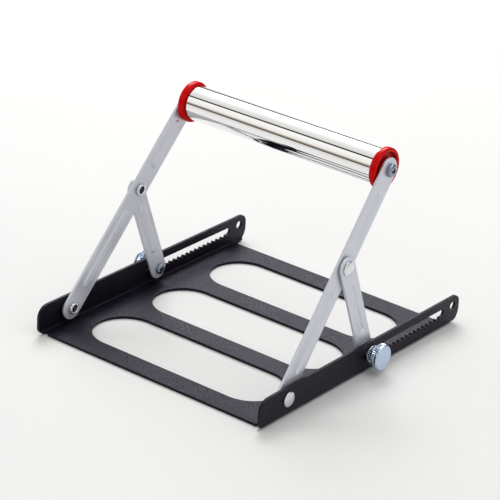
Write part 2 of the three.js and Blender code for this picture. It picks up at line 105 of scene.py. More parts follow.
class Graph:
    """A node tree under construction, with short ways to add and join nodes."""

    def __init__(self, owner: Union[Material, bpy.types.World], last: str = "Principled BSDF",
                 place: str = "Object") -> None:
        """Starts on the nodes that a new material or world has of its own.

        Args:
            owner: The material or world.
            last: Name of the node that everything ends in.
            place: Kind of coordinates that the textures lie on.
        """
        owner.use_nodes = True
        self.tree = owner.node_tree
        self.last = self.tree.nodes[last]
        self.place = self.add("ShaderNodeTexCoord", {}).outputs[place]

    def add(self, kind: str, inputs: Inputs, **settings: object) -> bpy.types.Node:
        """Adds a node.

        Args:
            kind: Blender's node type.
            inputs: Output to link, or value to set, by the input's name or number.
            **settings: Attributes set on the node.

        Returns:
            The new node.
        """
        node = self.tree.nodes.new(kind)
        for key, value in settings.items():
            setattr(node, key, value)
        self.fill(node, inputs)
        return node

    def fill(self, node: bpy.types.Node, inputs: Inputs) -> None:
        """Links or sets a node's inputs.

        Args:
            node: The node.
            inputs: Output to link, or value to set, by the input's name or number.
        """
        for key, value in inputs.items():
            if isinstance(value, Socket):
                self.tree.links.new(value, node.inputs[key])
            else:
                node.inputs[key].default_value = value

    def finish(self, inputs: Inputs) -> None:
        """Links or sets inputs of the last node."""
        self.fill(self.last, inputs)

    def scaled(self, scale: Triple) -> Socket:
        """Coordinates multiplied along each axis."""
        return self.add("ShaderNodeMapping", {"Vector": self.place, "Scale": scale}).outputs["Vector"]

    def noise(self, vector: Socket, scale: float, detail: float = 3.0) -> Socket:
        """Factor of fractal noise, with its cells per metre and its octaves."""
        inputs = {"Vector": vector, "Scale": scale, "Detail": detail}
        return self.add("ShaderNodeTexNoise", inputs).outputs["Fac"]

    def combined(self, operation: str, first: Socket, second: Union[Socket, float]) -> Socket:
        """Result of one of Blender's operations on two factors."""
        return self.add("ShaderNodeMath", {0: first, 1: second}, operation=operation).outputs["Value"]

    def ramp(self, source: Socket, stops: Stops) -> Socket:
        """Colour that goes from stop to stop as a factor rises.

        Args:
            source: Factor output.
            stops: Factor and linear colour of each stop.

        Returns:
            The colour output.
        """
        node = self.add("ShaderNodeValToRGB", {"Fac": source})
        elements = node.color_ramp.elements
        while len(elements) < len(stops):
            elements.new(0.5)
        for element, (position, colour) in zip(elements, stops):
            element.position = position
            element.color = (*colour, 1.0)
        return node.outputs["Color"]

    def mottled(self, source: Socket, dark: Colour, light: Colour, reach: float) -> Socket:
        """Blend of two colours over the middle of a noise factor, up to reach on both sides of one half."""
        return self.ramp(source, ((0.5 - reach, dark), (0.5 + reach, light)))

    def spread(self, source: Socket, low: float, high: float, start: float = NOISE_LOW,
               end: float = NOISE_HIGH) -> Socket:
        """Maps a factor from one range to another.

        Args:
            source: Factor output.
            low: Value at the start of the factor's range.
            high: Value at its end.
            start: Start of the factor's range, by default that of a noise's middle.
            end: End of the factor's range.

        Returns:
            The mapped output.
        """
        inputs = {"Value": source, "From Min": start, "From Max": end, "To Min": low, "To Max": high}
        return self.add("ShaderNodeMapRange", inputs).outputs["Result"]

    def rounded_normal(self, radius: float) -> Socket:
        """Surface normal, turned as if the edges were rounded with a radius in metres."""
        return self.add("ShaderNodeBevel", {"Radius": radius}, samples=BEVEL_SAMPLES).outputs["Normal"]

    def bump(self, height: Socket, distance: float, strength: float, edge: float = 0.0) -> Socket:
        """Normal bumped by a height, over softly rounded edges.

        Args:
            height: Height factor output.
            distance: Height of a full step in metres.
            strength: Share of the bump that shows.
            edge: Radius of the rounded edges in metres.

        Returns:
            The normal output.
        """
        inputs = {"Height": height, "Distance": distance, "Strength": strength}
        if edge > 0:
            inputs["Normal"] = self.rounded_normal(edge)
        return self.add("ShaderNodeBump", inputs).outputs["Normal"]

    def painted_hollow_shade(self, colour: Socket, reach: float, closed: float = 0.25, clear: float = 0.85,
                       deepest: float = 0.04) -> Socket:
        """Paints shade into a colour in hollows: darkens it as the piece's own walls close in.

        Args:
            colour: Colour output.
            reach: How near walls count, in metres.
            closed: Openness at which the colour is darkest.
            clear: Openness from which it is left as it is.
            deepest: Share of the colour that is left where it is darkest.

        Returns:
            The darkened colour output.
        """
        # Painted shade: ambient occlusion from the piece's own walls darkens the colour.
        hollow = self.add("ShaderNodeAmbientOcclusion", {"Distance": reach}, samples=HOLLOW_SAMPLES,
                          only_local=True)
        share = self.spread(hollow.outputs["AO"], deepest, 1.0, closed, clear)
        inputs = {"Factor": 1.0, "A": colour, "B": share}
        return self.add("ShaderNodeMix", inputs, data_type="RGBA", blend_type="MULTIPLY").outputs["Result"]

    def edge_mask(self, radius: float, flat: float = 0.995, wear_and_highlight_full: float = 0.86) -> Socket:
        """Factor that rises towards edges, where wear and a painted edge highlight go: how far the rounded
        normal turns from the face's own.

        Args:
            radius: Reach of the mask in metres.
            flat: Cosine of the turn up to which a face counts as flat.
            wear_and_highlight_full: Cosine of the turn from which the edge shows its wear and painted
                highlight in full.

        Returns:
            Factor from zero on flats to one on edges.
        """
        face = self.add("ShaderNodeNewGeometry", {}).outputs["True Normal"]
        normals = {0: self.rounded_normal(radius), 1: face}
        turn = self.add("ShaderNodeVectorMath", normals, operation="DOT_PRODUCT").outputs["Value"]
        return self.spread(turn, 0.0, 1.0, flat, wear_and_highlight_full)


@dataclass(frozen=True)
class PowderCoat:
    """Sprayed and baked coat: slight mottling, orange-peel bump, and paler edges, partly from wear and
    partly a painted edge highlight.
    """

    name: str
    dark: Colour
    light: Colour
    edge: Colour
    roughness: float
    specular: float
    peel: float
    grain_scale: float = 1500.0
    sheen_tint: Colour = (1.0, 1.0, 1.0)
    flake: float = 0.0
    mottle: float = 0.15
    peel_strength: float = 0.9
    edge_radius: float = 0.0005
    wear_scale: float = 160.0
    least_wear: float = 0.25
    cloud_scale: float = 24.0
    smoother: float = 0.03
    rougher: float = 0.04

    def build(self) -> Material:
        """Makes the material.

        Returns:
            The material.
        """
        material = bpy.data.materials.new(self.name)
        graph = Graph(material)
        grain = graph.noise(graph.place, self.grain_scale, detail=2.0)
        cloud = graph.noise(graph.place, self.cloud_scale, detail=4.0)
        wear = graph.spread(graph.noise(graph.place, self.wear_scale, detail=4.0), self.least_wear, 1.0)
        # Paler edge colour: partly wear, patched by the wear noise, and partly a painted highlight along
        # every edge.
        edge_wear_and_highlight = {
            "Factor": graph.combined("MULTIPLY", graph.edge_mask(self.edge_radius), wear),
            "A": graph.mottled(grain, self.dark, self.light, self.mottle),
            "B": (*self.edge, 1.0),
        }
        graph.finish({
            "Base Color": graph.add("ShaderNodeMix", edge_wear_and_highlight, data_type="RGBA").outputs["Result"],
            "Roughness": graph.spread(cloud, self.roughness - self.smoother, self.roughness + self.rougher),
            "Specular IOR Level": self.specular,
            "Specular Tint": (*self.sheen_tint, 1.0),
            "Metallic": self.flake,
            "Normal": graph.bump(grain, self.peel, self.peel_strength, self.edge_radius),
        })
        return material


@dataclass(frozen=True)
class PlatedMetal:
    """Plated or bare metal with tool marks: fine streaks round or along the piece and clouded sheen."""

    name: str
    dark: Colour
    light: Colour
    roughness: float
    streak: Triple
    scratch: float = 0.000004
    cloud_scale: float = 300.0
    # Reach of the painted shade in hollows, in metres; zero leaves none.
    painted_shade_reach: float = 0.0
    mottle: float = 0.18
    scratch_strength: float = 0.4
    smoother: float = 0.8
    rougher: float = 1.25

    def build(self) -> Material:
        """Makes the material.

        Returns:
            The material.
        """
        material = bpy.data.materials.new(self.name)
        graph = Graph(material)
        streaks = graph.noise(graph.scaled(self.streak), 1.0)
        cloud = graph.noise(graph.place, self.cloud_scale)
        mean = graph.combined("MULTIPLY", graph.combined("ADD", cloud, streaks), 0.5)
        colour = graph.mottled(mean, self.dark, self.light, self.mottle)
        # Painted shade: the colour darkens in the piece's own hollows, such as bores, recesses and knurl
        # valleys.
        if self.painted_shade_reach > 0:
            colour = graph.painted_hollow_shade(colour, self.painted_shade_reach)
        low, high = self.roughness * self.smoother, self.roughness * self.rougher
        graph.finish({
            "Base Color": colour,
            "Metallic": 1.0,
            "Roughness": graph.spread(streaks, low, high),
            "Normal": graph.bump(streaks, self.scratch, self.scratch_strength),
        })
        return material


@dataclass(frozen=True)
class MouldedPlastic:
    """Glossy moulded plastic: faint colour swirl, shallow sink marks and a thin clear skin."""

    name: str
    dark: Colour
    light: Colour
    roughness: float
    specular: float = 0.04
    skin: float = 0.1
    skin_roughness: float = 0.05
    swirl_scale: float = 60.0
    swirl: float = 0.2
    grain_scale: float = 700.0
    smoother: float = 0.04
    rougher: float = 0.06
    sink: float = 0.00001
    sink_strength: float = 0.15
    # Reach of the painted shade in hollows, in metres.
    painted_shade_reach: float = 0.012

    def build(self) -> Material:
        """Makes the material.

        Returns:
            The material.
        """
        material = bpy.data.materials.new(self.name)
        graph = Graph(material)
        grain = graph.noise(graph.place, self.grain_scale, detail=2.0)
        swirls = graph.noise(graph.place, self.swirl_scale)
        colour = graph.mottled(swirls, self.dark, self.light, self.swirl)
        # Painted shade: the colour darkens in the piece's own hollows, such as the cap's dished face.
        graph.finish({
            "Base Color": graph.painted_hollow_shade(colour, self.painted_shade_reach),
            "Roughness": graph.spread(grain, self.roughness - self.smoother, self.roughness + self.rougher),
            "Specular IOR Level": self.specular,
            "Coat Weight": self.skin,
            "Coat Roughness": self.skin_roughness,
            "Normal": graph.bump(grain, self.sink, self.sink_strength),
        })
        return material


@dataclass(frozen=True)
class Finishes:
    """Every finish of the stand, by the record's slot, and the screws' darker zinc."""

    # Each coat's edge colour is paler than its face: partly wear, partly a painted edge highlight.
    black_coat: PowderCoat = PowderCoat(
        name="black_powder_coat", dark=(0.0012, 0.0010, 0.0020), light=(0.0080, 0.0064, 0.0122),
        edge=(0.04, 0.04, 0.046), roughness=0.35, specular=0.20, peel=0.0007, grain_scale=900.0,
        sheen_tint=(0.76, 0.69, 1.0))
    grey_coat: PowderCoat = PowderCoat(
        name="light_grey_coat", dark=(0.60, 0.62, 0.685), light=(0.65, 0.67, 0.735),
        edge=(0.88, 0.89, 0.93), roughness=0.33, specular=0.5, peel=0.000008, flake=0.4)
    # The zinc finishes darken their hollows with painted shade, out to the reach given for each.
    zinc: PlatedMetal = PlatedMetal(
        name="bright_zinc", dark=(0.70, 0.71, 0.73), light=(0.80, 0.81, 0.83), roughness=0.15,
        streak=(900.0, 900.0, 900.0), scratch=0.0000004, cloud_scale=200.0, painted_shade_reach=0.004)
    screw_zinc: PlatedMetal = PlatedMetal(
        name="dark_zinc", dark=(0.20, 0.23, 0.29), light=(0.36, 0.39, 0.45), roughness=0.13,
        streak=(900.0, 900.0, 900.0), scratch=0.0000004, cloud_scale=200.0, painted_shade_reach=0.003)
    blue_zinc: PlatedMetal = PlatedMetal(
        name="blue_zinc", dark=(0.49, 0.59, 0.75), light=(0.54, 0.64, 0.80), roughness=0.24,
        streak=(200.0, 900.0, 900.0), scratch=0.0000003, cloud_scale=120.0, painted_shade_reach=0.0006)
    bright_steel: PlatedMetal = PlatedMetal(
        name="polished_tube", dark=(0.89, 0.89, 0.885), light=(0.93, 0.93, 0.92), roughness=0.035,
        streak=(25.0, 700.0, 700.0), scratch=0.000001, cloud_scale=40.0)
    plain_steel: PlatedMetal = PlatedMetal(
        name="drawn_steel", dark=(0.30, 0.30, 0.31), light=(0.46, 0.47, 0.48), roughness=0.38,
        streak=(60.0, 1200.0, 1200.0))
    red_plastic: MouldedPlastic = MouldedPlastic(
        name="red_plastic", dark=(0.52, 0.0006, 0.0015), light=(0.60, 0.0010, 0.0025), roughness=0.2)

    def materials(self) -> Dict[Slot, Material]:
        """Material by slot, each built once."""
        return {slot: getattr(self, slot.value).build() for slot in Slot}


def fillet(points: Profile, steps: int = 5) -> np.ndarray:
    """Profile of radius and X with rounded corners, each of its own size.

    Args:
        points: Radius, X and size of the corner in millimetres.
        steps: Samples on each arc.

    Returns:
        Array of radius and X.
    """
    corners = np.array([(r, x) for r, x, _ in points], float)
    chain: List[np.ndarray] = [corners[0][None]]
    for i in range(1, len(points) - 1):
        chain.append(corner_arc(corners[i - 1], corners[i], corners[i + 1], points[i][2], steps))
    chain.append(corners[-1][None])
    return np.concatenate(chain)


def corner_arc(before: np.ndarray, corner: np.ndarray, after: np.ndarray, size: float, steps: int,
               limit: float = 0.48) -> np.ndarray:
    """Quadratic arc that cuts a corner at an equal distance on both sides.

    With t from zero to one, the start counts by the square of one less t, the end by the square of t, and
    the corner by twice their roots' product.

    Args:
        before: Point before the corner.
        corner: The corner.
        after: Point after the corner.
        size: Distance of the cut from the corner.
        steps: Samples on the arc.
        limit: Largest share of a side that the cut takes.

    Returns:
        Points of the arc, or the corner alone where size is zero.
    """
    if size <= 0:
        return corner[None]
    back, ahead = before - corner, after - corner
    reach = min(size, np.linalg.norm(back) * limit, np.linalg.norm(ahead) * limit)
    start = corner + back / np.linalg.norm(back) * reach
    end = corner + ahead / np.linalg.norm(ahead) * reach
    t = np.linspace(0.0, 1.0, steps)[:, None]
    return (1 - t) ** 2 * start + 2 * t * (1 - t) * corner + t**2 * end


def cells(index: np.ndarray) -> np.ndarray:
    """Four-sided faces between the neighbours in a grid of point numbers."""
    corners = [index[:-1, :-1], index[:-1, 1:], index[1:, 1:], index[1:, :-1]]
    return np.stack(corners, axis=-1).reshape(-1, 4)


def mesh_piece(name: str, vertices: np.ndarray, faces: np.ndarray) -> Piece:
    """Piece from points and four-sided faces, with doubles merged and its faces turned the same way.

    Args:
        name: Name of the piece.
        vertices: Points in metres.
        faces: Four point numbers for each face.

    Returns:
        The object, at the origin.
    """
    mesh = bpy.data.meshes.new(name)
    mesh.from_pydata(vertices.tolist(), [], faces.tolist())
    work = bmesh.new()
    work.from_mesh(mesh)
    bmesh.ops.remove_doubles(work, verts=work.verts, dist=MERGE)
    bmesh.ops.recalc_face_normals(work, faces=work.faces)
    work.to_mesh(mesh)
    work.free()
    piece = bpy.data.objects.new(name, mesh)
    bpy.context.scene.collection.objects.link(piece)
    return piece


def turned(name: str, profile: np.ndarray, side: Side, centre: Pair, segments: int,
           radial: Optional[Wave] = None, axial: Optional[Wave] = None,
           smooth_angle: float = 40.0) -> Piece:
    """Piece turned about an axis along X: radius and X from the profile, swept through a full turn.

    Y is the radius times the cosine of the angle, Z the radius times its sine, both from the axis. Rows of
    no radius close as poles.

    Args:
        name: Name of the piece.
        profile: Rows of radius and X in millimetres, for the right side.
        side: Side of the stand; the left one is the mirror image.
        centre: Y and Z of the axis in millimetres.
        segments: Steps round the axis.
        radial: Change of radius as a function of radius, X and angle.
        axial: Change of X as a function of radius, X and angle.
        smooth_angle: Edges sharper than this stay sharp, in degrees.

    Returns:
        The object, at the origin.
    """
    angle, radius = np.meshgrid(np.linspace(0.0, TURN, segments, endpoint=False), profile[:, 0])
    along = np.broadcast_to(profile[:, 1:2], radius.shape)
    swell = radial(radius, along, angle) if radial else 0.0
    shift = axial(radius, along, angle) if axial else 0.0
    x = side.value * (along + shift)
    y = centre[0] + Y_SHIFT + (radius + swell) * np.cos(angle)
    z = centre[1] + (radius + swell) * np.sin(angle)
    points = np.stack([x, y, z], axis=-1) * MM
    index = np.arange(x.size).reshape(x.shape)
    piece = mesh_piece(name, points.reshape(-1, 3), cells(np.hstack([index, index[:, :1]])))
    piece.data.shade_smooth()
    piece.data.set_sharp_from_angle(angle=math.radians(smooth_angle))
    return piece


def smoothstep(low: Amount, high: Amount, value: np.ndarray) -> np.ndarray:
    """Smooth rise from zero at low to one at high."""
    t = np.clip((value - low) / (high - low), 0.0, 1.0)
    return t * t * (3 - 2 * t)


def saw(turns: np.ndarray) -> np.ndarray:
    """Triangular wave: one at whole turns, zero half way between."""
    return np.abs(2 * (turns % 1.0) - 1)


def pan_dome(radius: float, base: float, height: float, power: float = 3.0, steps: int = 26) -> np.ndarray:
    """Crown of a head: a dome whose section is a superellipse, round at power two and flatter above it.

    Args:
        radius: Radius of the head in millimetres.
        base: X where the crown starts, at full radius.
        height: Height of the crown.
        power: Power of the superellipse.
        steps: Rows from rim to centre.

    Returns:
        Rows of radius and X.
    """
    share = np.sin(np.linspace(np.pi / 2, 0.0, steps))[:, None]
    return np.hstack([radius * share, base + height * np.clip(1 - share**power, 0, 1) ** (1 / power)])


@dataclass(frozen=True)
class CrossRecess:
    """Cross-shaped driver recess in a screw's crown: two crossing bars with sloping walls and ends.

    A bar is widest at the centre. Its wall rises from wall_in inside the bar's edge to wall_out beyond it,
    and its end from end_share of the span to the whole span, both smoothly. Points count as on the crown
    beyond the X given by crown, and sink along X in the direction of sign.
    """

    span: float
    depth: float
    crown: float
    sign: float
    bar_half: float = 0.34
    bar_taper: float = 0.22
    wall_in: float = 0.12
    wall_out: float = 0.2
    end_share: float = 0.55

    def shift(self, radius: np.ndarray, along: np.ndarray, angle: np.ndarray) -> np.ndarray:
        """Change of X at points of the screw.

        Args:
            radius: Distance from the axis.
            along: X.
            angle: Angle round the axis.

        Returns:
            Change of X, zero where a point isn't on the crown.
        """
        near = np.minimum(np.abs(radius * np.cos(angle)), np.abs(radius * np.sin(angle)))
        width = self.bar_half + self.bar_taper * (1 - np.clip(radius / self.span, 0, 1))
        bar = 1 - smoothstep(width - self.wall_in, width + self.wall_out, near)
        ends = 1 - smoothstep(self.span * self.end_share, self.span, radius)
        return self.sign * self.depth * bar * ends * (self.sign * (along - self.crown) < 0)


@dataclass
class Linkage:
    """Pivot points of the raised stand in millimetres.

    Y is counted from the floor's front edge, Z from its underside.
    """

    pivot: Pair = (26.5, 12.6)
    clamp: Pair = (119.3, 12.7)
    axle: Pair = (139.5, 141.3)
    strut_share: float = 0.568
    arm_face_low: float = 96.2
    arm_face_top: float = 89.6
    strut_face: float = 95.5
    bar_sheet: float = 2.0

    @property
    def elbow(self) -> Pair:
        """Strut pivot, at its share of the way from the arm's foot to the axle."""
        (y0, z0), (y1, z1), share = self.pivot, self.axle, self.strut_share
        return y0 + (y1 - y0) * share, z0 + (z1 - z0) * share

    @property
    def arm_face_elbow(self) -> float:
        """X of the arm's outer face at the strut pivot."""
        return self.arm_face_low + (self.arm_face_top - self.arm_face_low) * self.strut_share


@dataclass
class Workshop:
    """What every sub-assembly needs: the materials and the pivot points."""

    materials: Dict[Slot, Material]
    screw_material: Material
    linkage: Linkage = field(default_factory=Linkage)

    def coat(self, node: Piece, slot: Slot) -> None:
        """Gives a carried-over solid its finish.

        Args:
            node: The solid.
            slot: Its finish.
        """
        node.data.materials.clear()
        node.data.materials.append(self.materials[slot])
        LOG.info("%s is coated", node.name)

    def seat(self, piece: Piece, slot: Slot, body: str, node: str, look: Optional[Material] = None) -> None:
        """Finishes a new piece and puts it in place of its solid.

        Args:
            piece: The new piece.
            slot: Its finish.
            body: Body that carries it.
            node: Solid that it stands for.
            look: Material of its own, where it differs from the slot's usual one.
        """
        piece.data.materials.append(look or self.materials[slot])
        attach(piece, body)
        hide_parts(node)
        LOG.info("%s stands for %s on %s", piece.name, node, body)


@dataclass
class Assembly:
    """Sub-assembly of one side of the stand."""

    shop: Workshop
    side: Side

    def own(self, name: str) -> str:
        """Name with the side's word in front."""
        return f"{self.side.word}_{name}"

    def turn(self, name: str, node: str, body: str, slot: Slot, profile: np.ndarray, centre: Pair,
             segments: int, look: Optional[Material] = None, **shaping: object) -> None:
        """Turns a piece and puts it in place of its solid.

        Args:
            name: Name of the piece, without the side.
            node: Solid that it stands for, without the side.
            body: Body that carries it.
            slot: Its finish.
            profile: Rows of radius and X in millimetres.
            centre: Y and Z of the axis.
            segments: Steps round the axis.
            look: Material of its own, where it differs from the slot's usual one.
            **shaping: Waves and smoothing angle of the turned piece.
        """
        piece = turned(self.own(name), profile, self.side, centre, segments, **shaping)
        self.shop.seat(piece, slot, body, self.own(node), look)

    def ring(self, name: str, node: str, body: str, centre: Pair, radii: Pair, faces: Pair) -> None:
        """Makes a washer: a flat ring with broken edges.

        Args:
            name: Name of the piece, without the side.
            node: Solid that it stands for, without the side.
            body: Body that carries it.
            centre: Y and Z of the axis.
            radii: Radius of the bore and of the rim.
            faces: X of the inner and of the outer face.
        """
        (bore, rim), (back, front) = radii, faces
        seam = (bore, (back + front) / 2, 0)
        points = [seam, (bore, back, 0.1), (rim, back, 0.25), (rim, front, 0.25), (bore, front, 0.1), seam]
        self.turn(name, node, body, Slot.ZINC, fillet(points, steps=4), centre, segments=48)


@dataclass
class Tube:
    """Polished tube of the roller."""

    shop: Workshop
    radius: float = 12.7
    bore: float = 11.2
    half: float = 81.5
    seam: float = 20.0

    def build(self) -> None:
        """Makes the tube: a closed wall profile with broken edges."""
        half, outer, inner = self.half, self.radius, self.bore
        seam = (inner, self.seam - half, 0)
        points = [seam, (inner, -half, 0.3), (outer, -half, 0.5), (outer, half, 0.5), (inner, half, 0.3),
                  seam]
        axle = self.shop.linkage.axle
        piece = turned("polished_roller_tube", fillet(points), Side.RIGHT, axle, segments=128)
        self.shop.seat(piece, Slot.BRIGHT_STEEL, "roller", "roller_tube")


@dataclass
class RollerEnd(Assembly):
    """Push-in cap of the roller, axle screw and thrust washer."""

    cap_radius: float = 15.0
    cap_shoulder: float = 81.8
    cap_face: float = 87.1
    cap_lip: float = 3.0
    cap_lip_foot: float = 3.6
    cap_dish: float = 84.2
    cap_hub: float = 85.7
    cap_hub_rim: float = 7.2
    cap_hub_foot: float = 7.7
    cap_plug: float = 68.0
    cap_plug_radius: float = 10.9
    cap_seam: float = 2.0
    bore: float = 4.3
    washer_rim: float = 6.8
    washer_faces: Pair = (86.0, 86.9)
    screw_gap: float = 0.45
    screw_head: float = 4.7
    screw_height: float = 3.1
    screw_wall: float = 0.4
    screw_shank: float = 2.4
    screw_tip: float = 74.3
    recess: Pair = (2.7, 1.5)
    recess_edge: float = 0.155

    def build(self) -> None:
        """Makes the cap and what holds it."""
        self.cap()
        self.screw()
        radii = (self.bore, self.washer_rim)
        self.ring("hub_washer", "thrust_washer", "arms", self.shop.linkage.axle, radii, self.washer_faces)

    def cap(self) -> None:
        """Makes the cap: plug, rounded rim, dished face and hub."""
        rim, face, shoulder, dish = self.cap_radius, self.cap_face, self.cap_shoulder, self.cap_dish
        bore, plug, end, hub = self.bore, self.cap_plug_radius, self.cap_plug, self.cap_hub
        seam = (bore, end + self.cap_seam, 0)
        points = [seam, (bore, end, 0.3), (plug, end, 0.8), (plug, shoulder, 0), (rim, shoulder, 2.2),
                  (rim, face, 2.4), (rim - self.cap_lip, face, 0.9), (rim - self.cap_lip_foot, dish, 0.7),
                  (self.cap_hub_foot, dish, 0.6), (self.cap_hub_rim, hub, 0.5), (bore, hub, 0.3), seam]
        self.turn("red_cap", "end_cap", "roller", Slot.RED_PLASTIC, fillet(points, steps=8),
                  self.shop.linkage.axle, segments=96)

    def screw(self) -> None:
        """Makes the axle screw: plain shank and a domed head with a cross recess."""
        link, head, shank, tip = self.shop.linkage, self.screw_head, self.screw_shank, self.screw_tip
        seat = link.arm_face_top + self.screw_gap
        wall = self.screw_height * self.screw_wall
        crown = seat + wall
        stem = [(0, tip, 0), (shank, tip, 0.5), (shank, seat, 0), (head, seat, 0.25), (head, crown, 0)]
        profile = np.vstack([fillet(stem), pan_dome(head, crown, self.screw_height - wall)[1:]])
        recess = CrossRecess(*self.recess, crown + self.recess_edge, -1.0)
        self.turn("axle_pan_screw", "axle_screw", "arms", Slot.ZINC, profile, link.axle, segments=96,
                  look=self.shop.screw_material, axial=recess.shift)


@dataclass
class Rivets(Assembly):
    """Semi-tubular rivets of the arm's pivot and of the strut's pivot, with their washers."""

    head: float = 5.5
    head_wall: float = 0.2
    dome: float = 1.6
    shank: float = 3.0
    roll: float = 4.45
    roll_height: float = 1.9
    roll_gap: float = 0.45
    bore: float = 2.7
    bore_depth: float = 2.8
    bore_tip: float = 3.4
    washer_radii: Pair = (3.4, 5.4)
    gap: float = 0.3
    pivot_washer_gap: float = 0.5
    strut_washer_gap: float = 0.36
    channel_half: float = 100.0
    channel_sheet: float = 2.0

    def build(self) -> None:
        """Makes both rivets and their washers."""
        link, radii, outside = self.shop.linkage, self.washer_radii, self.channel_half
        low, high = link.arm_face_low, link.arm_face_elbow
        self.rivet("pivot", "base", link.pivot, low - link.bar_sheet, outside)
        self.rivet("strut", "arms", link.elbow, high - link.bar_sheet, link.strut_face)
        faces = (low + self.pivot_washer_gap, outside - self.channel_sheet - self.gap)
        self.ring("pivot_ring", "pivot_washer", "base", link.pivot, radii, faces)
        faces = (high + self.strut_washer_gap, link.strut_face - link.bar_sheet - self.gap)
        self.ring("strut_ring", "strut_washer", "arms", link.elbow, radii, faces)

    def rivet(self, word: str, body: str, centre: Pair, inside: float, outside: float) -> None:
        """Makes a rivet: hollow rolled end, shank and a low domed head.

        Args:
            word: Which pivot.
            body: Body that carries it.
            centre: Y and Z of the axis.
            inside: X of the innermost plate's inner face.
            outside: X of the outermost plate's outer face.
        """
        roll, seat = inside - self.roll_gap, outside + self.gap
        end, crown = roll - self.roll_height, seat + self.head_wall
        points = [(0, inside + self.bore_tip, 0), (self.bore, inside + self.bore_depth, 0.4),
                  (self.bore, end, 0.7), (self.roll, end, 0.9), (self.roll, roll, 0.5),
                  (self.shank, roll, 0), (self.shank, seat, 0), (self.head, seat, 0.1),
                  (self.head, crown, 0)]
        dome = pan_dome(self.head, crown, self.dome - self.head_wall, power=2.0)
        profile = np.vstack([fillet(points, steps=7), dome[1:]])
        self.turn(f"{word}_tubular_rivet", f"{word}_rivet", body, Slot.ZINC, profile, centre, segments=64)


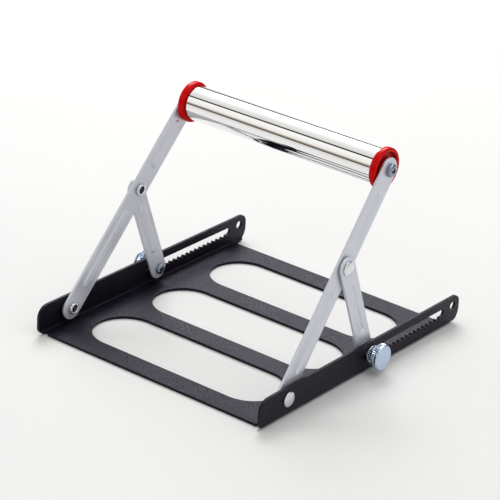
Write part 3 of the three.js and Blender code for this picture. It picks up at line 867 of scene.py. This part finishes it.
@dataclass
class Clamp(Assembly):
    """Clamp screw, stud, washers and knurled knob of a strut's foot."""

    shank: float = 1.8
    clearance: float = 0.3
    screw_head: float = 3.9
    screw_height: float = 3.0
    screw_wall: float = 0.4
    recess: Pair = (2.2, 1.3)
    recess_edge: float = 0.15
    slot_washer_rim: float = 7.0
    slot_washer_gap: float = 0.6
    slot_washer_front: float = 97.7
    knob_washer_rim: float = 6.2
    knob_washer_faces: Pair = (100.3, 101.4)
    knob_radius: float = 9.3
    knob_boss: float = 5.2
    knob_back: float = 101.7
    knob_front: float = 110.9
    knurl_back: float = 105.6
    knurl_front: float = 108.6
    knurl_bevel: float = 0.5
    knurl_margin: float = 0.7
    knurl_rows: int = 6
    knurl_teeth: int = 38
    knurl_depth: float = 0.6
    tooth_segments: int = 8
    band_depth: float = 0.3
    band_edge: float = 0.1
    groove_depth: float = 1.4
    disc_back: float = 109.3
    disc_step: float = 0.1
    disc_bevel: Pair = (0.9, 0.7)
    dish_brim: float = 2.2
    dish_depth: float = 0.12
    stud_gap: float = 0.4
    stud_tip: Pair = (0.25, 0.3)
    stud_tail: Pair = (0.5, 0.6)
    stud_rows: int = 90
    thread_pitch: float = 0.7
    thread_depth: float = 0.18
    thread_start: float = 0.9
    thread_runout: Pair = (1.2, 0.5)

    def build(self) -> None:
        """Makes the clamp's pieces."""
        link, bore, body = self.shop.linkage, self.shank + self.clearance, self.own("clamp")
        self.screw()
        self.stud()
        self.knob()
        faces = (link.strut_face + self.slot_washer_gap, self.slot_washer_front)
        self.ring("slot_ring", "inner_washer", body, link.clamp, (bore, self.slot_washer_rim), faces)
        radii = (bore, self.knob_washer_rim)
        self.ring("knob_ring", "outer_washer", body, link.clamp, radii, self.knob_washer_faces)

    def screw(self) -> None:
        """Makes the clamp screw: domed head inside the strut, short shank in the strut's eye."""
        link, head, shank = self.shop.linkage, self.screw_head, self.shank
        face = link.strut_face
        seat = face - link.bar_sheet - self.clearance
        wall = self.screw_height * self.screw_wall
        crown = seat - wall
        dome = pan_dome(head, -crown, self.screw_height - wall)[::-1] * (1, -1)
        stem = [(head, crown, 0), (head, seat, 0.2), (shank, seat, 0), (shank, face, 0.2), (0, face, 0)]
        profile = np.vstack([dome, fillet(stem, steps=4)[1:]])
        recess = CrossRecess(*self.recess, crown - self.recess_edge, 1.0)
        self.turn("clamp_pan_screw", "clamp_screw", self.own("strut_body"), Slot.ZINC, profile, link.clamp,
                  segments=96, look=self.shop.screw_material, axial=recess.shift)

    def stud(self) -> None:
        """Makes the stud, whose radius rises and falls along a helix, as a thread does."""
        shank, tip, tail = self.shank, self.stud_tip, self.stud_tail
        start, end = self.shop.linkage.strut_face + self.stud_gap, self.disc_back - self.stud_gap
        along = np.linspace(start + tip[1], end - tail[1], self.stud_rows)[:, None]
        wall = np.hstack([np.full_like(along, shank), along])
        ends = [[0, start], [shank - tip[0], start]], [[shank - tail[0], end], [0, end]]
        fade_from, fade_to = end - self.thread_runout[0], end - self.thread_runout[1]

        def thread(radius: np.ndarray, x: np.ndarray, angle: np.ndarray) -> np.ndarray:
            """Change of radius: a triangular wave along the helix on the wall, faded out at the ends."""
            fade = smoothstep(start, start + self.thread_start, x) * (1 - smoothstep(fade_from, fade_to, x))
            return -self.thread_depth * saw(x / self.thread_pitch + angle / TURN) * (radius == shank) * fade

        profile = np.vstack([ends[0], wall, ends[1]])
        self.turn("threaded_stud", "clamp_stud", self.own("clamp"), Slot.ZINC, profile,
                  self.shop.linkage.clamp, segments=32, radial=thread)

    def knob(self) -> None:
        """Makes the knob: boss, knurled band with bevelled edges, groove and a dished, bevelled disc."""
        rim, boss, bevel = self.knob_radius, self.knob_boss, self.knurl_bevel
        bore = self.shank + self.clearance
        low, high, back, front = self.knurl_back, self.knurl_front, self.disc_back, self.knob_front
        groove, disc, dish = rim - self.groove_depth, rim - self.disc_step, front - self.dish_depth
        middle, half_band = (low + high) / 2, (high - low) / 2 - self.band_edge
        rows = np.linspace(low + self.knurl_margin, high - self.knurl_margin, self.knurl_rows)
        points = [(0, back, 0), (bore, back, 0.2), (bore, self.knob_back, 0.2), (boss, self.knob_back, 0.4),
                  (boss, low, 0.3), (rim - bevel, low, 0.1), (rim, low + bevel, 0.1),
                  *((rim, x, 0.0) for x in rows), (rim, high - bevel, 0.1), (rim - bevel, high, 0.1),
                  (groove, high, 0.1), (groove, back, 0.1), (disc, back, 0.3),
                  (disc, front - self.disc_bevel[1], 0.15), (rim - self.disc_bevel[0], front, 0.2),
                  (rim - self.dish_brim, dish, 0.3), (0, dish, 0)]

        def knurl(radius: np.ndarray, x: np.ndarray, angle: np.ndarray) -> np.ndarray:
            """Change of radius: V-shaped teeth on the band only, a triangular wave round the axis."""
            on_band = (radius > rim - self.band_depth) & (np.abs(x - middle) < half_band)
            return -self.knurl_depth * saw(angle * self.knurl_teeth / TURN) * on_band

        self.turn("knurled_knob", "knob", self.own("knob_body"), Slot.BLUE_ZINC, fillet(points, steps=4),
                  self.shop.linkage.clamp, segments=self.knurl_teeth * self.tooth_segments, radial=knurl,
                  smooth_angle=24.0)


def break_edges(piece: Piece, width: float, angle: float, segments: int = 3) -> None:
    """Rounds a piece's edges and keeps its flats flat.

    Args:
        piece: The piece.
        width: Width of the rounding in millimetres.
        angle: Edges sharper than this are rounded, in degrees.
        segments: Steps over the rounding.
    """
    bevel = piece.modifiers.new("broken_edges", "BEVEL")
    bevel.width = width * MM
    bevel.segments = segments
    bevel.limit_method = "ANGLE"
    bevel.angle_limit = math.radians(angle)
    bevel.use_clamp_overlap = True
    piece.data.shade_smooth()
    level = piece.modifiers.new("level_flats", "WEIGHTED_NORMAL")
    level.keep_sharp = True


@dataclass
class PressedBar:
    """Flat bar with round ends, drilled pivots and pressed ribs.

    The sheet's middle surface lies in grids: one round each pivot hole, from the hole out to the bar's edge
    and to a straight cut, and plain ones between the cuts. A rib sinks the surface by its depth wherever a
    point is nearer to the rib's middle line than the rib's half width, with a smooth flank. The sheet is
    then given its thickness.
    """

    length: float
    start_radius: float
    end_radius: float
    holes: Sequence[Pair]
    ribs: Sequence[Pair]
    sheet: float
    rib_half: float = 3.4
    rib_floor: float = 2.2
    rib_depth: float = 1.0
    edge: float = 0.55
    edge_angle: float = 50.0
    collar: float = 0.8
    columns: int = 31
    side_steps: int = 12
    ray_steps: int = 9
    step: float = 0.7

    def half_width(self, along: np.ndarray) -> np.ndarray:
        """Half width of the bar at a distance along it."""
        share = np.clip(along / self.length, 0.0, 1.0)
        return self.start_radius + (self.end_radius - self.start_radius) * share

    def rung(self, along: np.ndarray, across: np.ndarray) -> np.ndarray:
        """Points at distances along the bar and shares of its half width."""
        along, across = np.broadcast_arrays(along, across)
        return np.stack([along, across * self.half_width(along)], axis=-1)

    def plain(self, low: float, high: float) -> np.ndarray:
        """Grid of a plain stretch between two cuts."""
        rows = np.linspace(low, high, max(2, int((high - low) / self.step)))
        return self.rung(rows[:, None], np.linspace(-1.0, 1.0, self.columns)[None, :])

    def brim(self, low: float, high: float) -> np.ndarray:
        """Closed outline round a hole: two sides, and at each end a straight cut or the bar's round end.

        Args:
            low: Place of the cut before the hole, below zero at the bar's start.
            high: Place of the cut after it, beyond the length at the bar's end.

        Returns:
            Points of the outline.
        """
        turn = np.linspace(-np.pi / 2, np.pi / 2, self.columns)
        across = np.linspace(-1.0, 1.0, self.columns)
        arc = np.stack([np.cos(turn), np.sin(turn)], axis=-1)
        sides = np.linspace(max(low, 0.0), min(high, self.length), self.side_steps)
        tail = self.rung(np.full(self.columns, high), across)
        head = self.rung(np.full(self.columns, low), -across)
        if high > self.length:
            tail = self.end_radius * arc + (self.length, 0.0)
        if low < 0:
            head = -self.start_radius * arc
        ones = np.ones(self.side_steps)
        parts = [self.rung(sides, -ones), tail, self.rung(sides[::-1], ones), head]
        return np.concatenate([part[:-1] for part in parts])

    def drilled(self, hole: Pair, low: float, high: float) -> np.ndarray:
        """Grid from a hole's rim straight out to the outline round it.

        Args:
            hole: Place of the hole along the bar, and its radius.
            low: Place of the cut before the hole.
            high: Place of the cut after it.

        Returns:
            The grid, closed by repeating its first column.
        """
        outline = self.brim(low, high)
        centre = np.array([hole[0], 0.0])
        ray = outline - centre
        rim = centre + hole[1] * ray / np.linalg.norm(ray, axis=1, keepdims=True)
        share = np.linspace(0.0, 1.0, self.ray_steps)[:, None, None]
        grid = rim * (1 - share) + outline * share
        return np.concatenate([grid, grid[:, :1]], axis=1)

    def grids(self) -> List[np.ndarray]:
        """All grids of the middle surface.

        Returns:
            The grids round the holes, then the plain ones.
        """
        reach = max(self.start_radius, self.end_radius) + self.collar
        cuts = [(hole, hole[0] - reach, hole[0] + reach) for hole in self.holes]
        plain = [self.plain(before[2], after[1]) for before, after in zip(cuts, cuts[1:])]
        return [self.drilled(*cut) for cut in cuts] + plain

    def sunk(self, points: np.ndarray) -> np.ndarray:
        """Depth of the ribs at points of the middle surface.

        Args:
            points: Places along and across the bar.

        Returns:
            Depth at each point.
        """
        depth = np.zeros(points.shape[:-1])
        for low, high in self.ribs:
            beyond = points[..., 0] - np.clip(points[..., 0], low + self.rib_half, high - self.rib_half)
            away = np.hypot(beyond, points[..., 1])
            depth += self.rib_depth * (1 - smoothstep(self.rib_floor, self.rib_half, away))
        return depth

    def build(self, name: str, side: Side, face: float, start: Pair, end: Pair, lean: float) -> Piece:
        """Makes the bar in place.

        Args:
            name: Name of the piece.
            side: Side of the stand; the left one is the mirror image.
            face: X of the outer face at the start.
            start: Y and Z of the first pivot.
            end: Y and Z of the last pivot.
            lean: Turn of the bar towards the middle, in radians.

        Returns:
            The object, at the origin.
        """
        rise = math.atan2(end[1] - start[1], end[0] - start[0])
        vertices: List[np.ndarray] = []
        faces: List[np.ndarray] = []
        count = 0
        for grid in self.grids():
            out = -self.sheet / 2 - self.sunk(grid)
            along = out * math.sin(lean) + grid[..., 0] * math.cos(lean)
            x = side.value * (face + out * math.cos(lean) - grid[..., 0] * math.sin(lean))
            y = start[0] + Y_SHIFT + along * math.cos(rise) - grid[..., 1] * math.sin(rise)
            z = start[1] + along * math.sin(rise) + grid[..., 1] * math.cos(rise)
            vertices.append(np.stack([x, y, z], axis=-1).reshape(-1, 3) * MM)
            faces.append(cells(count + np.arange(x.size).reshape(x.shape)))
            count += x.size
        piece = mesh_piece(name, np.concatenate(vertices), np.concatenate(faces))
        wall = piece.modifiers.new("sheet", "SOLIDIFY")
        wall.thickness = self.sheet * MM
        wall.offset = 0.0
        wall.use_even_offset = True
        break_edges(piece, self.edge, self.edge_angle)
        return piece


@dataclass
class Framework:
    """Sheet channel and axle rod."""

    shop: Workshop
    nodes: Dict[str, Piece]
    edge: float = 0.4
    edge_angle: float = 30.0
    merge: float = 1e-6
    flat_angle: float = 0.3

    def build(self) -> None:
        """Coats the axle rod and makes the channel."""
        self.shop.coat(self.nodes["axle_rod"], Slot.PLAIN_STEEL)
        self.channel()

    def channel(self) -> None:
        """Makes the channel from its solid: doubles merged, flats joined and every edge broken."""
        mesh = self.nodes["base_channel"].data.copy()
        mesh.materials.clear()
        work = bmesh.new()
        work.from_mesh(mesh)
        bmesh.ops.remove_doubles(work, verts=work.verts, dist=self.merge)
        flat = math.radians(self.flat_angle)
        bmesh.ops.dissolve_limit(work, angle_limit=flat, verts=work.verts, edges=work.edges)
        work.to_mesh(mesh)
        work.free()
        piece = bpy.data.objects.new("slotted_channel", mesh)
        bpy.context.scene.collection.objects.link(piece)
        break_edges(piece, self.edge, self.edge_angle)
        self.shop.seat(piece, Slot.BLACK_COAT, "base", "base_channel")


@dataclass
class Bars(Assembly):
    """Arm and strut."""

    arm_radius: float = 8.8
    strut_radius: float = 8.0
    strut_foot: float = 7.8
    rivet_hole: float = 3.4
    axle_hole: float = 3.0
    clamp_hole: float = 2.5
    arm_ribs: Sequence[Pair] = ((17.5, 79.5), (116.0, 154.5))
    strut_ribs: Sequence[Pair] = ((17.0, 61.5),)

    def build(self) -> None:
        """Makes both bars."""
        self.arm()
        self.strut()

    def arm(self) -> None:
        """Makes the arm, from its foot rivet up to the axle, leaning inwards."""
        link = self.shop.linkage
        length = math.dist(link.pivot, link.axle)
        elbow = length * link.strut_share
        holes = [(0.0, self.rivet_hole), (elbow, self.rivet_hole), (length, self.axle_hole)]
        bar = PressedBar(length, self.arm_radius, self.arm_radius, holes, self.arm_ribs, link.bar_sheet)
        lean = math.atan2(link.arm_face_low - link.arm_face_top, length)
        name = self.own("pressed_arm")
        piece = bar.build(name, self.side, link.arm_face_low, link.pivot, link.axle, lean)
        self.shop.seat(piece, Slot.GREY_COAT, "arms", self.own("arm"))

    def strut(self) -> None:
        """Makes the strut, from the elbow rivet down to the clamp."""
        link = self.shop.linkage
        length = math.dist(link.elbow, link.clamp)
        holes = [(0.0, self.rivet_hole), (length, self.clamp_hole)]
        bar = PressedBar(length, self.strut_radius, self.strut_foot, holes, self.strut_ribs, link.bar_sheet)
        name = self.own("pressed_strut")
        piece = bar.build(name, self.side, link.strut_face, link.elbow, link.clamp, 0.0)
        self.shop.seat(piece, Slot.GREY_COAT, self.own("strut_body"), self.own("strut"))


@dataclass
class Studio:
    """Pale floor, soft lights and the camera of the photograph.

    The surroundings' colours go by degrees from the front horizon up over the top to the rear horizon.
    """

    focal_pixels: float = 2469.67
    frame_pixels: float = 500.0
    sensor: float = 36.0
    clip: Pair = (0.05, 50.0)
    azimuth: float = 37.3
    elevation: float = 24.822
    roll: float = 3.314
    target: Triple = (8.178, 95.0 + Y_SHIFT, 69.173)
    distance: float = 1718.909
    floor_reach: float = 40.0
    floor_drop: float = 0.0002
    floor_dark: Colour = (0.62, 0.617, 0.613)
    floor_light: Colour = (0.64, 0.637, 0.633)
    floor_mottle: float = 0.2
    floor_cloud_scale: float = 3.0
    floor_roughness: float = 0.8
    floor_specular: float = 0.1
    aim: Triple = (0.0, 0.0, 0.05)
    overhead_place: Triple = (0.3, -0.2, 2.8)
    overhead_size: float = 1.6
    overhead_watts: float = 10.0
    rear_place: Triple = (-1.5, 1.75, 2.2)
    rear_size: float = 1.7
    rear_watts: float = 74.0
    surround: Stops = (
        (0.0, (0.06, 0.04, 0.028)),
        (5.0, (0.12, 0.088, 0.064)),
        (10.0, (0.42, 0.36, 0.30)),
        (19.0, (0.93, 0.91, 0.88)),
        (51.5, (1.05, 1.05, 1.04)),
        (53.0, (0.01, 0.01, 0.01)),
        (60.5, (0.01, 0.01, 0.01)),
        (62.0, (0.74, 0.74, 0.72)),
        (88.0, (0.90, 0.90, 0.89)),
        (98.0, (1.08, 1.08, 1.08)),
        (148.0, (1.08, 1.08, 1.08)),
        (155.0, (0.34, 0.34, 0.36)),
        (180.0, (0.22, 0.22, 0.23)),
    )

    def build(self) -> None:
        """Sets up the studio."""
        self.floor()
        self.world()
        self.lights()
        self.camera()

    def floor(self) -> None:
        """Pale floor, a wide flat grid just under the stand."""
        reach = np.linspace(-self.floor_reach, self.floor_reach, 3)
        x, y = np.meshgrid(reach, reach)
        points = np.stack([x, y, np.full_like(x, -self.floor_drop)], axis=-1).reshape(-1, 3)
        mesh = bpy.data.meshes.new("studio_floor")
        mesh.from_pydata(points.tolist(), [], cells(np.arange(x.size).reshape(x.shape)).tolist())
        floor = bpy.data.objects.new("studio_floor", mesh)
        bpy.context.scene.collection.objects.link(floor)
        material = bpy.data.materials.new("pale_floor")
        graph = Graph(material)
        cloud = graph.noise(graph.place, self.floor_cloud_scale, detail=2.0)
        graph.finish({
            "Base Color": graph.mottled(cloud, self.floor_dark, self.floor_light, self.floor_mottle),
            "Roughness": self.floor_roughness,
            "Specular IOR Level": self.floor_specular,
        })
        mesh.materials.append(material)

    def world(self) -> None:
        """Pale surroundings that change with the angle about the roller's axis.

        From the front horizon up over the top to the rear horizon: a dim warm room, a white panel, the dark
        gap between two panels, a second white panel and a greyer rear wall.
        """
        world = bpy.data.worlds.new("studio_world")
        graph = Graph(world, last="Background", place="Generated")
        parts = graph.add("ShaderNodeSeparateXYZ", {0: graph.place}).outputs
        front = graph.combined("MULTIPLY", parts["Y"], -1.0)
        share = graph.combined("DIVIDE", graph.combined("ARCTAN2", parts["Z"], front), math.pi)
        stops = [(degrees / 180.0, colour) for degrees, colour in self.surround]
        graph.finish({"Color": graph.ramp(share, stops)})
        bpy.context.scene.world = world
        bpy.context.scene.view_settings.view_transform = "Standard"

    def lights(self) -> None:
        """Large soft lights: one overhead and one behind."""
        self.panel("overhead_panel", self.overhead_place, self.overhead_size, self.overhead_watts)
        self.panel("rear_panel", self.rear_place, self.rear_size, self.rear_watts)

    def panel(self, name: str, place: Triple, size: float, watts: float) -> None:
        """Square area light that faces the stand.

        Args:
            name: Name of the light.
            place: Position in metres.
            size: Side of the square.
            watts: Power.
        """
        data = bpy.data.lights.new(name, "AREA")
        data.size = size
        data.energy = watts
        lamp = bpy.data.objects.new(name, data)
        lamp.location = place
        lamp.rotation_euler = (Vector(self.aim) - Vector(place)).to_track_quat("-Z", "Y").to_euler()
        bpy.context.scene.collection.objects.link(lamp)

    def camera(self) -> None:
        """Camera at the photograph's angle: azimuth and elevation round the target, then the roll."""
        a, e, r = (math.radians(v) for v in (self.azimuth, self.elevation, self.roll))
        back = Vector((math.sin(a) * math.cos(e), -math.cos(a) * math.cos(e), math.sin(e)))
        right = Vector((math.cos(a), math.sin(a), 0.0))
        up = back.cross(right)
        across = right * math.cos(r) + up * math.sin(r)
        upright = up * math.cos(r) - right * math.sin(r)
        place = (Vector(self.target) + back * self.distance) * MM
        data = bpy.data.cameras.new("photo_camera")
        data.sensor_width = self.sensor
        data.lens = self.focal_pixels * self.sensor / self.frame_pixels
        data.clip_start, data.clip_end = self.clip
        camera = bpy.data.objects.new("photo_camera", data)
        turn = Matrix((across, upright, back)).transposed().to_4x4()
        camera.matrix_world = Matrix.Translation(place) @ turn
        bpy.context.scene.collection.objects.link(camera)
        bpy.context.scene.camera = camera


def plain(corners: Tuple[Vector, Vector]) -> List[List[float]]:
    """Box corners as plain lists of numbers."""
    return [[float(v) for v in corner] for corner in corners]


def main() -> None:
    """Loads the frame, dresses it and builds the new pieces."""
    logging.basicConfig(level=logging.INFO, format="%(message)s")
    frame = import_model()
    finishes = Finishes()
    shop = Workshop(finishes.materials(), finishes.screw_zinc.build())
    builders = [Framework(shop, frame["nodes"]), *(Bars(shop, side) for side in Side), Tube(shop)]
    builders += [kind(shop, side) for kind in (RollerEnd, Rivets, Clamp) for side in Side]
    for builder in [*builders, Studio()]:
        builder.build()
    bpy.context.view_layer.update()


if __name__ == "__main__":
    main()
